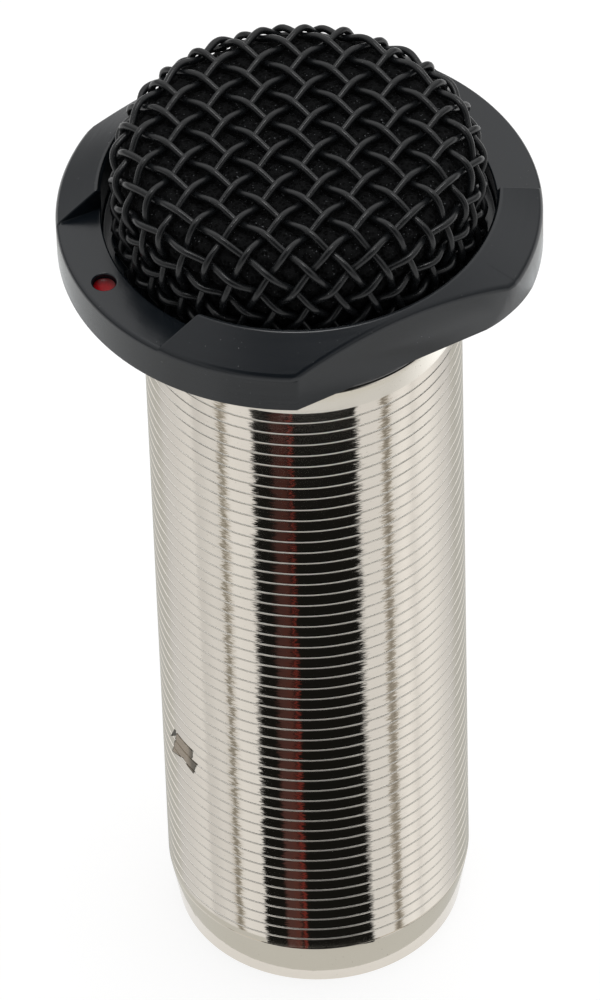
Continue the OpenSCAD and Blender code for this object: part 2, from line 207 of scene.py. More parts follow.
# How close counts as the same, when meshes are cut and joined
SAME_PLANE = 1e-5
SAME_POINT = 1e-4
SAME_HEIGHT = 1e-3
CLOSE_POINTS = 5e-3
FLAT_WITHIN = 0.3


# The camera
def make_camera():
    """The photo's camera: its place, its slight roll and its long lens."""
    azimuth = math.radians(VIEW_AZIMUTH)
    elevation = math.radians(VIEW_ELEVATION)
    outwards = Vector((
        math.cos(elevation) * math.sin(azimuth),
        -math.cos(elevation) * math.cos(azimuth),
        math.sin(elevation),
    ))
    right = Vector((0, 0, 1)).cross(outwards).normalized()
    up = outwards.cross(right)
    turn = Matrix((right, up, outwards)).transposed()
    turn = turn @ Matrix.Rotation(math.radians(VIEW_ROLL), 3, "Z")
    data = bpy.data.cameras.new("camera")
    data.lens = VIEW_LENS
    data.sensor_width = VIEW_SENSOR
    data.clip_start, data.clip_end = VIEW_CLIP_M
    camera = put_in_scene("camera", data)
    place = (AIM + VIEW_DISTANCE * outwards) * MM
    camera.matrix_world = Matrix.Translation(place) @ turn.to_4x4()
    bpy.context.scene.camera = camera


make_camera()


# Shader expressions
class Value:
    """A shader socket that takes part in Python arithmetic, which adds Math nodes."""

    def __init__(self, paint, socket):
        self.paint = paint
        self.socket = socket

    def math(self, operation, *others):
        """Any operation of the Math node, with this value first."""
        return self.paint.maths(operation, self, *others)

    def __add__(self, other):
        return self.math("ADD", other)

    def __sub__(self, other):
        return self.math("SUBTRACT", other)

    def __mul__(self, other):
        return self.math("MULTIPLY", other)

    def __truediv__(self, other):
        return self.math("DIVIDE", other)

    def __radd__(self, other):
        return self.paint.maths("ADD", other, self)

    def __rsub__(self, other):
        return self.paint.maths("SUBTRACT", other, self)


def opaque(shade):
    """A colour with its alpha, and any other value as it is."""
    return (*shade, 1) if isinstance(shade, tuple) and len(shade) == 3 else shade


def grey(tone, blue=None):
    """A grey, whose blue may differ."""
    return (tone, tone, tone if blue is None else blue)


class Paint:
    """The nodes of a new material, or of a new world."""

    def __init__(self, name, blocks=None):
        self.block = (bpy.data.materials if blocks is None else blocks).new(name)
        self.block.use_nodes = True
        self.tree = self.block.node_tree
        self.tree.nodes.clear()

    def add(self, kind, sockets=(), out=0, **settings):
        """Adds a node, with its settings and the values or links of its sockets."""
        node = self.tree.nodes.new(kind)
        for name, value in settings.items():
            if name == "stops":
                self.set_stops(node.color_ramp, value)
            else:
                setattr(node, name, value)
        for name, value in dict(sockets).items():
            if isinstance(value, Value):
                self.tree.links.new(value.socket, node.inputs[name])
            else:
                node.inputs[name].default_value = value
        return Value(self, node.outputs[out]) if node.outputs else node

    def set_stops(self, ramp, stops):
        """Gives a colour ramp its places and colours."""
        while len(ramp.elements) < len(stops):
            ramp.elements.new(0.5)
        for element, (place, shade) in zip(ramp.elements, stops):
            element.position = place
            element.color = opaque(shade)

    def show(self, shader, output="ShaderNodeOutputMaterial"):
        """Makes a shader the one that shows, and returns the finished block."""
        self.add(output, {"Surface": shader})
        return self.block

    def glow(self, colour, strength=1.0):
        """A surface that only glows."""
        sockets = {"Color": opaque(colour), "Strength": strength}
        return self.show(self.add("ShaderNodeEmission", sockets))

    def finish(self, **sockets):
        """A real surface, from the sockets' names with an underscore for each space."""
        inputs = {name.replace("_", " "): opaque(value) for name, value in sockets.items()}
        return self.show(self.add("ShaderNodeBsdfPrincipled", inputs))

    def maths(self, operation, *values):
        """Any operation of the Math node."""
        return self.add("ShaderNodeMath", dict(enumerate(values)), operation=operation)

    def vector(self, operation, *values, out=0, **named):
        """Any operation of the Vector Math node: inputs in their order, then those by name."""
        sockets = {**dict(enumerate(values)), **named}
        return self.add("ShaderNodeVectorMath", sockets, out, operation=operation)

    def place(self):
        """The point on the piece, in millimetres."""
        point = self.add("ShaderNodeTexCoord", out="Object")
        return self.vector("SCALE", point, Scale=1 / MM)

    def axes(self, point):
        """The three numbers of a point."""
        split = self.add("ShaderNodeSeparateXYZ", {0: point})
        return [Value(self, socket) for socket in split.socket.node.outputs]

    def join(self, x, y, z):
        """A point from its three numbers."""
        return self.add("ShaderNodeCombineXYZ", {0: x, 1: y, 2: z})

    def stretch(self, point, factors):
        """A point with each of its numbers multiplied by a factor."""
        return self.vector("MULTIPLY", point, factors)

    def ray(self, kind):
        """1 for a ray of that kind, and 0 for any other."""
        return self.add("ShaderNodeLightPath", out=f"Is {kind} Ray")

    def noise(self, point, size, detail=2.0, roughness=0.5):
        """Soft noise whose lumps are about size millimetres, from 0 to 1."""
        sockets = {"Vector": point, "Scale": 1 / size, "Detail": detail, "Roughness": roughness}
        return self.add("ShaderNodeTexNoise", sockets)

    def specks(self, point, size, low, high):
        """Grains of about size millimetres, the rarer the nearer low and high are to 1."""
        return self.ramp(self.noise(point, size, 1, 0.4), low, high)

    def cells(self, point, size):
        """Distance to the nearest of many scattered points about size millimetres apart."""
        return self.add("ShaderNodeTexVoronoi", {"Vector": point, "Scale": 1 / size})

    def ramp(self, value, low, high, start=0.0, end=1.0):
        """start below low, end above high, and a smooth change between them."""
        sockets = {"Value": value, "From Min": low, "From Max": high, "To Min": start, "To Max": end}
        return self.add("ShaderNodeMapRange", sockets, interpolation_type="SMOOTHSTEP")

    def mix(self, factor, first, second):
        """Blends two colours."""
        sockets = {0: factor, 6: opaque(first), 7: opaque(second)}
        return self.add("ShaderNodeMix", sockets, out=2, data_type="RGBA")

    def bump(self, height, depth, normal=None):
        """Relief from a height of 0 to 1 that stands for depth millimetres."""
        sockets = {"Height": height, "Distance": depth * MM}
        if normal:
            sockets["Normal"] = normal
        return self.add("ShaderNodeBump", sockets)

    def lean(self, direction, amount):
        """The surface's normal, leant along a direction by an amount that may vary."""
        normal = self.add("ShaderNodeNewGeometry", out="Normal")
        way = self.add(
            "ShaderNodeVectorTransform",
            {0: direction},
            vector_type="VECTOR",
            convert_from="OBJECT",
            convert_to="WORLD",
        )
        push = self.vector("SCALE", way, Scale=amount)
        return self.vector("NORMALIZE", self.vector("ADD", normal, push))


def round_axis(x, y):
    """How far from the axis a point is, and its azimuth in radians."""
    return (x * x + y * y).math("POWER", 0.5), y.math("ARCTAN2", x)


# Finishes
NICKEL_DARK = (0.755, 0.70, 0.62)
NICKEL_LIGHT = (0.81, 0.76, 0.68)
NICKEL_SPECK = (0.30, 0.27, 0.22)
# Paler metal in the thread's grooves: a painted highlight for the light the grooves catch
GROOVE_PAINTED_HIGHLIGHT = (0.92, 0.91, 0.88)

# The chip in the plating, over two crests: three flakes, each with a convex outline whose corners
# are an arc round the barrel and a height, anticlockwise
CHIP_OUTLINES = (
    ((-16.9, 19.75), (-17.9, 16.9), (-16.2, 17.8), (-15.0, 18.6), (-14.8, 19.68)),
    ((-16.3, 18.9), (-16.2, 17.8), (-14.9, 17.4), (-14.4, 18.75)),
    ((-17.3, 19.74), (-18.2, 18.1), (-16.8, 19.5)),
)
CHIP_EDGE = (0.05, 0.045, 0.03)
CHIP_MIDDLE = (0.36, 0.30, 0.23)


def inside(across, up, outline):
    """How far inside a convex outline a point is, given its corners anticlockwise."""
    depth = None
    for (x0, y0), (x1, y1) in zip(outline, outline[1:] + outline[:1]):
        length = math.hypot(x1 - x0, y1 - y0)
        slope_x = (y1 - y0) / length
        slope_y = (x1 - x0) / length
        edge = (up - y0) * slope_y - (across - x0) * slope_x
        depth = edge if depth is None else depth.math("MINIMUM", edge)
    return depth


def nickel_plate():
    """Bright nickel on brass, with the chip where the plating has flaked off, and a painted
    highlight in the thread's grooves.
    """
    paint = Paint("nickel_plate")
    point = paint.place()
    x, y, z = paint.axes(point)
    radius, azimuth = round_axis(x, y)

    ragged = paint.noise(point, 0.5, 3, 0.6) - 0.5
    across = azimuth * BARREL_R + ragged * 0.5
    up = z + ragged * 0.35
    upper, lower, corner = (inside(across, up, outline) for outline in CHIP_OUTLINES)
    flake = upper.math("MAXIMUM", lower)
    chip = paint.ramp(flake.math("MAXIMUM", corner), -0.02, 0.04)
    chip_middle = paint.ramp(flake, 0.0, 0.16) * paint.ramp(across, -15.7, -14.9, 1.0, 0.25)

    above_taper = paint.ramp(z, TAPER_H, TAPER_H + 0.3)
    threaded = above_taper * paint.ramp(z, THREAD_TOP - 0.1, THREAD_TOP, 1.0, 0.0)
    groove = paint.ramp(radius, BARREL_R - 0.07, BARREL_R - 0.01, 1.0, 0.0) * threaded

    cloud = paint.noise(point, 6.0, 3, 0.55)
    specks = paint.specks(point, 0.16, 0.74, 0.78)
    clean = paint.mix(cloud, NICKEL_DARK, NICKEL_LIGHT)
    clean = paint.mix(specks * 0.35, clean, NICKEL_SPECK)
    # The grooves get a paler colour, which is a painted highlight
    clean = paint.mix(groove, clean, GROOVE_PAINTED_HIGHLIGHT)
    bare = paint.mix(chip_middle, CHIP_EDGE, CHIP_MIDDLE)

    # The crests aren't quite true, which leaves ragged edges on what they mirror
    chatter = paint.noise(paint.stretch(point, (0.12, 0.12, 1.0)), 0.075, roughness=0.6) - 0.5
    waver = paint.noise(paint.stretch(point, (0.3, 0.3, 1.0)), 0.8) - 0.5
    sideways = (chatter * 0.14 + waver * 0.05) * threaded
    lathe_marks = paint.noise(paint.stretch(point, (0.15, 0.15, 3.0)), 0.5, 3, 0.6)
    relief = paint.lean(paint.join(y * -1, x, 0.0), sideways / radius)
    relief = paint.bump(paint.noise(point, 0.3), 0.0016, relief)
    relief = paint.bump(lathe_marks, 0.0006, relief)
    relief = paint.bump(1 - chip, 0.03, relief)
    return paint.finish(
        Base_Color=paint.mix(chip, clean, bare),
        Metallic=1 - chip * 0.55,
        Roughness=0.05 + lathe_marks * 0.05 + chip * 0.38 + groove * 0.5,
        Normal=relief,
    )


def black_paint():
    """Satin black paint with a fine orange peel and a few grains of dust."""
    paint = Paint("black_paint")
    point = paint.place()
    x, y, z = paint.axes(point)
    radius, azimuth = round_axis(x, y)
    turning = paint.noise(paint.join(radius, azimuth * 0.6, z), 0.5, 3, 0.6)
    peel = paint.noise(point, 0.22)
    cloud = paint.noise(point, 5.0, 3)
    dust = paint.specks(point, 0.18, 0.785, 0.81)
    colour = paint.mix(cloud, (0.0036, 0.0054, 0.0076), (0.0054, 0.0076, 0.0104))
    return paint.finish(
        Base_Color=paint.mix(dust * 0.5, colour, grey(0.16)),
        Roughness=0.17 + cloud * 0.05 + turning * 0.06 + dust * 0.2,
        Normal=paint.bump(turning, 0.006, paint.bump(peel, 0.0025)),
    )


def wire_paint():
    """Thicker black paint on the woven wire."""
    paint = Paint("grille_paint")
    point = paint.place()
    peel = paint.noise(point, 0.16)
    cloud = paint.noise(point, 2.5, 3)
    dust = paint.specks(point, 0.14, 0.76, 0.80)
    colour = paint.mix(cloud, (0.0040, 0.0046, 0.0052), (0.0066, 0.0073, 0.0082))
    return paint.finish(
        Base_Color=paint.mix(dust * 0.5, colour, grey(0.18)),
        Roughness=0.24 + peel * 0.08,
        Specular_IOR_Level=0.42,
        Normal=paint.bump(peel, 0.004),
    )


def foam():
    """Open-cell foam: pores darkened with painted shade, and thin cell walls with pale specks here
    and there, which are painted glints and also less rough.
    """
    paint = Paint("foam")
    point = paint.place()
    pores = paint.cells(point, 0.34)
    fibres = paint.noise(point, 0.12, 3, 0.6)
    # Pale specks on the cell walls: painted glints, which are also less rough and catch real light
    painted_glints = paint.specks(point, 0.15, 0.70, 0.76)
    # The pores are painted darker than the cell walls, as painted shade in the cells
    walls = paint.ramp(pores, 0.15, 0.6)
    colour = paint.mix(walls, (0.0012, 0.0012, 0.0013), (0.0055, 0.0057, 0.006))
    return paint.finish(
        Base_Color=paint.mix(painted_glints * 0.7, colour, (0.10, 0.105, 0.11)),
        Roughness=0.85 - painted_glints * 0.4,
        Specular_IOR_Level=0.05,
        Normal=paint.bump(pores * 0.7 + fibres * 0.3, 0.18),
    )


def red_enamel():
    """Red filling of the dot: a painted highlight on the side away from the camera, fading into
    painted shade further from it.
    """
    paint = Paint("red_enamel")
    point = paint.place()
    # A painted highlight round this spot, and further off the painted shadow of the hole's rim
    painted_highlight_spot = DOT_PLACE + polar(0.22, VIEW_AZIMUTH - 90)
    away = paint.vector("DISTANCE", point, (*painted_highlight_spot, DOT_TOP_Z), out="Value")
    cloud = paint.noise(point, 0.5)
    painted_shade = paint.ramp(away, 0.3, 0.9)
    colour = paint.mix(painted_shade, (0.27, 0.0015, 0.005), (0.05, 0.0003, 0.001))
    return paint.finish(
        Base_Color=paint.mix(cloud * 0.35, colour, (0.09, 0.0005, 0.002)),
        Roughness=0.20 + cloud * 0.06,
        Specular_IOR_Level=0.15,
        Normal=paint.bump(cloud, 0.01),
    )


def plain_finish(name, dark, light, roughness, grain, relief):
    """A finish with a cloudy colour and a fine grain, for the pieces inside and underneath."""
    paint = Paint(name)
    point = paint.place()
    cloud = paint.noise(point, 2.2, 3, 0.55)
    fine = paint.noise(point, grain, roughness=0.55)
    return paint.finish(
        Base_Color=paint.mix(cloud * 0.6 + fine * 0.4, dark, light),
        Roughness=roughness + fine * 0.12,
        Normal=paint.bump(fine, relief),
    )


def turned_metal(name, dark, light, roughness):
    """A turned or drawn metal with fine marks round the axis."""
    paint = Paint(name)
    point = paint.place()
    marks = paint.noise(paint.stretch(point, (0.4, 0.4, 7.0)), 0.6, 3, 0.6)
    tarnish = paint.noise(point, 1.6, 3, 0.6)
    return paint.finish(
        Base_Color=paint.mix(tarnish, dark, light),
        Roughness=roughness + marks * 0.18,
        Metallic=1.0,
        Normal=paint.bump(marks, 0.008),
    )


def printed_board(name):
    """Green lacquer over copper tracks on a glass-fibre board."""
    paint = Paint(name)
    point = paint.place()
    x, _, z = paint.axes(point)
    weave = (x * 6).math("SINE") * (z * 6).math("SINE")
    bricks = {"Scale": 0.28, "Mortar Size": 0.05, "Mortar Smooth": 0.2}
    tracks = paint.add("ShaderNodeTexBrick", {"Vector": paint.join(x, z, 0.0), **bricks}, "Fac")
    colour = paint.mix(weave * 0.5 + 0.5, (0.012, 0.085, 0.035), (0.018, 0.11, 0.045))
    return paint.finish(
        Base_Color=paint.mix(tracks * 0.8, colour, (0.05, 0.22, 0.09)),
        Roughness=0.28 + weave * 0.03,
        Normal=paint.bump(tracks + weave * 0.1, 0.03),
        Coat_Weight=0.3,
    )


# Each colour band of a resistor: how far along it is from the middle, and its colour
RESISTOR_BANDS = (
    (-2.1, (0.35, 0.03, 0.02)),
    (-1.2, (0.02, 0.02, 0.02)),
    (-0.4, (0.5, 0.2, 0.02)),
    (0.4, (0.10, 0.04, 0.015)),
    (2.0, (0.12, 0.05, 0.02)),
)
RESISTOR_BODY_END = 3.0


def banded_resistor():
    """A dipped resistor body with colour bands, and its bare wire ends."""
    paint = Paint("resistor_body")
    point = paint.place()
    z = paint.axes(point)[2]
    low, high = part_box("resistor_1")
    from_middle = z - (low.z + high.z) / 2 / MM
    fine = paint.noise(point, 0.25)
    colour = paint.mix(fine, (0.24, 0.40, 0.52), (0.30, 0.46, 0.58))
    for centre, shade in RESISTOR_BANDS:
        away = (from_middle - centre).math("ABSOLUTE")
        colour = paint.mix(paint.ramp(away, 0.18, 0.22, 1.0, 0.0), colour, shade)
    end = from_middle.math("ABSOLUTE")
    wire = paint.ramp(end, RESISTOR_BODY_END, RESISTOR_BODY_END + 0.02)
    return paint.finish(
        Base_Color=paint.mix(wire, colour, (0.62, 0.60, 0.55)),
        Metallic=wire,
        Roughness=0.25 + fine * 0.1,
        Normal=paint.bump(fine, 0.01),
    )


def sleeved_capacitor():
    """Shrink sleeve with a pale stripe down one side."""
    paint = Paint("capacitor_sleeve")
    point = paint.place()
    z = paint.axes(point)[2]
    fine = paint.noise(point, 0.4)
    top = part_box("capacitor_1")[1].z / MM
    stripe = paint.ramp(z, top - 0.9, top - 0.8)
    colour = paint.mix(fine, (0.012, 0.018, 0.06), (0.02, 0.028, 0.085))
    return paint.finish(
        Base_Color=paint.mix(stripe, colour, (0.42, 0.43, 0.45)),
        Roughness=0.25 + fine * 0.1,
        Normal=paint.bump(fine, 0.01),
    )


# By node, or by what the names of several nodes start with: the material's name, its dark and its
# light colour and its roughness, and for a plain finish also its grain and relief in millimetres
PLAIN_FINISHES = {
    "gasket": ("gasket_rubber", grey(0.004), grey(0.012), 0.7, 0.3, 0.02),
    "grille_ring": ("ring_finish", grey(0.010, 0.011), grey(0.020, 0.021), 0.5, 0.3, 0.01),
    "capsule_mount": ("mount_rubber", grey(0.008), grey(0.018), 0.65, 0.3, 0.02),
    "capsule_felt": ("felt", grey(0.008, 0.009), grey(0.03, 0.032), 0.9, 0.15, 0.12),
    "capsule_lead_1": ("lead_red", (0.34, 0.012, 0.012), (0.45, 0.02, 0.02), 0.4, 0.4, 0.01),
    "capsule_lead_2": ("lead_black", grey(0.010), grey(0.02), 0.4, 0.4, 0.01),
    "pin_lead": ("lead_yellow", (0.55, 0.36, 0.02), (0.66, 0.46, 0.04), 0.4, 0.4, 0.01),
    "connector_insert": ("insert_plastic", grey(0.01, 0.011), grey(0.022, 0.024), 0.42, 0.12, 0.02),
    "transistor": ("transistor_body", grey(0.010, 0.011), grey(0.02, 0.022), 0.45, 0.15, 0.02),
}
METAL_FINISHES = {
    "capsule_can": ("can_metal", grey(0.55, 0.56), grey(0.68, 0.69), 0.26),
    "insert_screw": ("screw_steel", grey(0.06, 0.065), grey(0.12, 0.125), 0.35),
    "earth_spring": ("spring_bronze", (0.55, 0.36, 0.14), (0.66, 0.46, 0.20), 0.3),
    "pin": ("pin_silver", (0.66, 0.63, 0.57), (0.80, 0.78, 0.72), 0.16),
}


def finish_nodes():
    """Gives every CAD node that stays in the picture its finish."""
    finishes = {
        "contact_board": printed_board("contact_board"),
        "circuit_board": printed_board("board_green"),
        "capacitor": sleeved_capacitor(),
        "resistor": banded_resistor(),
    }
    for name, values in PLAIN_FINISHES.items():
        finishes[name] = plain_finish(*values)
    for name, values in METAL_FINISHES.items():
        finishes[name] = turned_metal(*values)
    for name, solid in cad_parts.items():
        finish = finishes.get(name) or finishes.get(name.rstrip("_0123456789"))
        if finish is None:
            continue
        if not solid.material_slots:
            solid.data.materials.append(finish)
        for holder in solid.material_slots:
            holder.material = finish


finish_nodes()


# How pieces are made
def as_object(bm, name):
    """Makes an object of a bmesh."""
    mesh = bpy.data.meshes.new(name)
    bm.to_mesh(mesh)
    bm.free()
    return put_in_scene(name, mesh)


def hand_over(piece, material, replaced):
    """Gives a piece its finish, lets it ride on the root and hides the CAD node it stands for."""
    piece.data.materials.append(material)
    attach(piece, "root")
    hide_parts(replaced)


def finish_piece(bm, name, material, replaced, sharp):
    """Makes a bmesh in millimetres a finished piece."""
    bmesh.ops.scale(bm, vec=(MM, MM, MM), verts=bm.verts)
    piece = as_object(bm, name)
    piece.data.shade_smooth()
    piece.data.set_sharp_from_angle(angle=math.radians(sharp))
    hand_over(piece, material, replaced)
    return piece


def face_outwards(bm):
    """Turns all faces of a closed bmesh outwards."""
    bmesh.ops.recalc_face_normals(bm, faces=bm.faces)


def spin_profile(bm, points, steps, rise=0.0):
    """Turns a profile of (radius, height) points once round Z, climbing by rise on the way."""
    verts = [bm.verts.new((radius, 0, height)) for radius, height in points]
    edges = [bm.edges.new(pair) for pair in zip(verts, verts[1:])]
    bmesh.ops.spin(
        bm,
        geom=verts + edges,
        cent=(0, 0, 0),
        axis=(0, 0, 1),
        dvec=(0, 0, rise / steps),
        angle=math.tau,
        steps=steps,
        use_merge=rise == 0,
    )
    bmesh.ops.remove_doubles(bm, verts=bm.verts, dist=SAME_POINT)


def cut_level(bm, height, keep="both"):
    """Cuts the mesh at a height, and keeps what is below it, above it or both."""
    bmesh.ops.bisect_plane(
        bm,
        geom=bm.verts[:] + bm.edges[:] + bm.faces[:],
        dist=SAME_PLANE,
        plane_co=(0, 0, height),
        plane_no=(0, 0, 1),
        clear_outer=keep == "below",
        clear_inner=keep == "above",
    )


def open_edges(bm, height):
    """The open rim at a height."""
    rims = [edge for edge in bm.edges if edge.is_boundary]
    return [e for e in rims if all(abs(vert.co.z - height) < SAME_HEIGHT for vert in e.verts)]


def draw_ring(bm, rim, radius, height):
    """Extrudes an open rim to a new radius and height, and returns the new rim."""
    new = bmesh.ops.extrude_edge_only(bm, edges=rim)["geom"]
    for vert in (item for item in new if isinstance(item, bmesh.types.BMVert)):
        flat = vert.co.xy.normalized() * radius
        vert.co = (flat.x, flat.y, height)
    return [item for item in new if isinstance(item, bmesh.types.BMEdge) and item.is_boundary]


def box_cutter(size, middle):
    """A box to cut away."""
    bm = bmesh.new()
    bmesh.ops.create_cube(bm, size=1.0)
    bmesh.ops.scale(bm, vec=size, verts=bm.verts)
    bmesh.ops.translate(bm, vec=middle, verts=bm.verts)
    return bm


def drill(radius, steps):
    """A round hole to cut away, along Z and with its middle at the origin."""
    bm = bmesh.new()
    bmesh.ops.create_cone(
        bm, cap_ends=True, segments=steps, radius1=radius, radius2=radius, depth=DRILL_LENGTH
    )
    return bm


# The direction along which a cut mesh is put in order
SORT_WAY = Vector((0.5771, 0.2113, 0.7889))


def put_in_order(bm):
    """Gives a cut mesh the same order in each run, which the cutting itself doesn't."""
    bm.verts.sort(key=lambda vert: vert.co.dot(SORT_WAY))
    bm.edges.sort(key=lambda edge: (edge.verts[0].co + edge.verts[1].co).dot(SORT_WAY))
    bm.faces.sort(key=lambda face: face.calc_center_median().dot(SORT_WAY))
    for elements in (bm.verts, bm.edges, bm.faces):
        elements.index_update()


def cut_away(bm, cutters):
    """The bmesh with the cutters taken out of it."""
    body = as_object(bm, "cut_body")
    tools = [as_object(cutter, f"cutter_{number}") for number, cutter in enumerate(cutters)]
    for tool in tools:
        cut = body.modifiers.new("cut", "BOOLEAN")
        cut.operation = "DIFFERENCE"
        cut.solver = "EXACT"
        cut.object = tool
    bpy.context.view_layer.update()
    shaped = body.evaluated_get(bpy.context.evaluated_depsgraph_get())
    result = bmesh.new()
    result.from_mesh(shaped.data)
    for holder in [body] + tools:
        bpy.data.objects.remove(holder)
    put_in_order(result)
    return result


# The barrel
def thread_profile(lowest, highest):
    """The crests and grooves from lowest to highest, as they stand at azimuth zero."""
    middle = GROOVE_Z - THREAD_PITCH * GROOVE_AZIMUTH / 360
    middle -= math.ceil((middle - lowest) / THREAD_PITCH) * THREAD_PITCH
    points = []
    while middle < highest:
        for across, depth in GROOVE_SHAPE:
            points.append((BARREL_R - depth * GROOVE_DEPTH, middle + across * GROOVE_HALF_W))
        middle += THREAD_PITCH
    return points


def latch_recess():
    """What is taken out of the socket wall for the plug's latch."""
    middle = (0, SOCKET_R + LATCH_DEPTH - LATCH_CUT / 2, LATCH_Z + LATCH_H / 2)
    return box_cutter((LATCH_W, LATCH_CUT, LATCH_H), middle)


def screw_hole():
    """What is drilled out of the barrel wall for the insert's grub screw."""
    bm = drill(SCREW_HOLE_R, SCREW_HOLE_STEPS)
    bmesh.ops.rotate(bm, matrix=Matrix.Rotation(QUARTER_TURN, 3, "X"), verts=bm.verts)
    bmesh.ops.translate(bm, vec=(0, BARREL_R, SCREW_Z), verts=bm.verts)
    return bm


def make_barrel():
    """The barrel: a helical groove in a tapered tube, a smooth collar, the bore and the socket."""
    low = THREAD_TOP - THREAD_TURNS * THREAD_PITCH
    thread = thread_profile(low - 2 * THREAD_PITCH, THREAD_TOP + THREAD_PITCH)
    bm = bmesh.new()
    spin_profile(bm, thread, BARREL_STEPS, rise=THREAD_PITCH)
    cut_level(bm, THREAD_TOP, keep="below")
    cut_level(bm, low, keep="above")
    cut_level(bm, TAPER_H)
    for vert in bm.verts:
        taper = RIM_R + (BARREL_R - RIM_R) * vert.co.z / TAPER_H
        radius = vert.co.xy.length
        if vert.co.z < TAPER_H and radius > taper:
            vert.co.xy *= taper / radius
    outside = draw_ring(bm, open_edges(bm, low), RIM_R + RIM_EASE, EDGE_BREAK)
    outside = draw_ring(bm, outside, RIM_R - EDGE_BREAK, 0)
    for vert in bm.verts:
        if vert.co.z > THREAD_TOP - THREAD_RUN_OUT:
            vert.co.xy *= BARREL_R / vert.co.xy.length
    rim = open_edges(bm, THREAD_TOP)
    for radius, height in (
        (BARREL_R, THREAD_TOP + COLLAR_START),
        (COLLAR_TOP_R, BARREL_H - EDGE_BREAK),
        (COLLAR_TOP_R - EDGE_BREAK, BARREL_H),
        (BORE_R, BARREL_H),
        (BORE_R, SHOULDER_Z),
        (SOCKET_R, SHOULDER_Z),
        (SOCKET_R, MOUTH_CHAMFER),
        (SOCKET_R + MOUTH_CHAMFER, 0),
    ):
        rim = draw_ring(bm, rim, radius, height)
    bmesh.ops.bridge_loops(bm, edges=rim + outside)
    face_outwards(bm)
    bm = cut_away(bm, [latch_recess(), screw_hole()])
    finish_piece(bm, "threaded_barrel", nickel_plate(), "barrel", sharp=25)


# The flange
def flat_end_cutter(turn):
    """What rounds one end of a flat: sharp at the upper edge and round at the lower one."""
    middle_x = FLAT_X - FLAT_CORNER_R
    middle = Vector((middle_x, math.sqrt((FLANGE_R - FLAT_CORNER_R) ** 2 - middle_x**2)))
    corner = Vector((FLAT_X, math.sqrt(FLANGE_R**2 - FLAT_X**2)))
    lower_r = FLAT_CORNER_R + FLAT_END_EASE
    upper_r = (corner - middle).length - FLAT_END_EASE
    spread = (upper_r - lower_r) / (EDGE_Z - FLANGE_Z)
    reach = 1.0
    section = (
        (lower_r - spread * reach, FLANGE_Z - reach),
        (FLANGE_R + reach, FLANGE_Z - reach),
        (FLANGE_R + reach, EDGE_Z + reach),
        (upper_r + spread * reach, EDGE_Z + reach),
    )
    bm = bmesh.new()
    bm.faces.new(bm.verts.new((middle.x + out, middle.y, height)) for out, height in section)
    bmesh.ops.spin(
        bm,
        geom=bm.verts[:] + bm.edges[:] + bm.faces[:],
        cent=(*middle, 0),
        axis=(0, 0, 1),
        angle=math.atan2(middle.y, middle.x),
        steps=FLAT_END_STEPS,
    )
    face_outwards(bm)
    bmesh.ops.rotate(bm, matrix=Matrix.Rotation(turn, 3, "Z"), verts=bm.verts)
    return bm


def dot_hole():
    """What is drilled out of the slot for the orientation dot."""
    bm = drill(DOT_HOLE_R, DOT_STEPS)
    bmesh.ops.translate(bm, vec=(*DOT_PLACE, DOT_HOLE_Z + DRILL_LENGTH / 2), verts=bm.verts)
    return bm


def join_flat_ends(bm):
    """Makes one point of the close ones where a flat's rounded end meets the upper edge."""
    close = []
    for vert in bm.verts:
        spot = vert.co
        at_end = abs(spot.x) > FLAT_X - NEAR_FLAT and spot.xy.length > FLANGE_R - NEAR_OUTLINE
        if at_end and spot.z > EDGE_Z - NEAR_EDGE:
            spot.z = max(spot.z, EDGE_Z)
            close.append(vert)
    bmesh.ops.remove_doubles(bm, verts=close, dist=JOIN_WITHIN)


def rounding_share(edge):
    """How much of the full rounding an edge gets, by where it is on the flange."""
    ends = [vert.co for vert in edge.verts]
    if abs(ends[0].z - ends[1].z) > STEEP_EDGE * edge.calc_length():
        return STEEP_SHARE
    if any(min(FLANGE_R - spot.xy.length, FLAT_X - abs(spot.x)) > INNER_FROM for spot in ends):
        return INNER_SHARE
    upper = min(spot.z for spot in ends) > EDGE_Z - EDGE_BREAK
    return OUTER_UPPER_SHARE if upper else OUTER_LOWER_SHARE


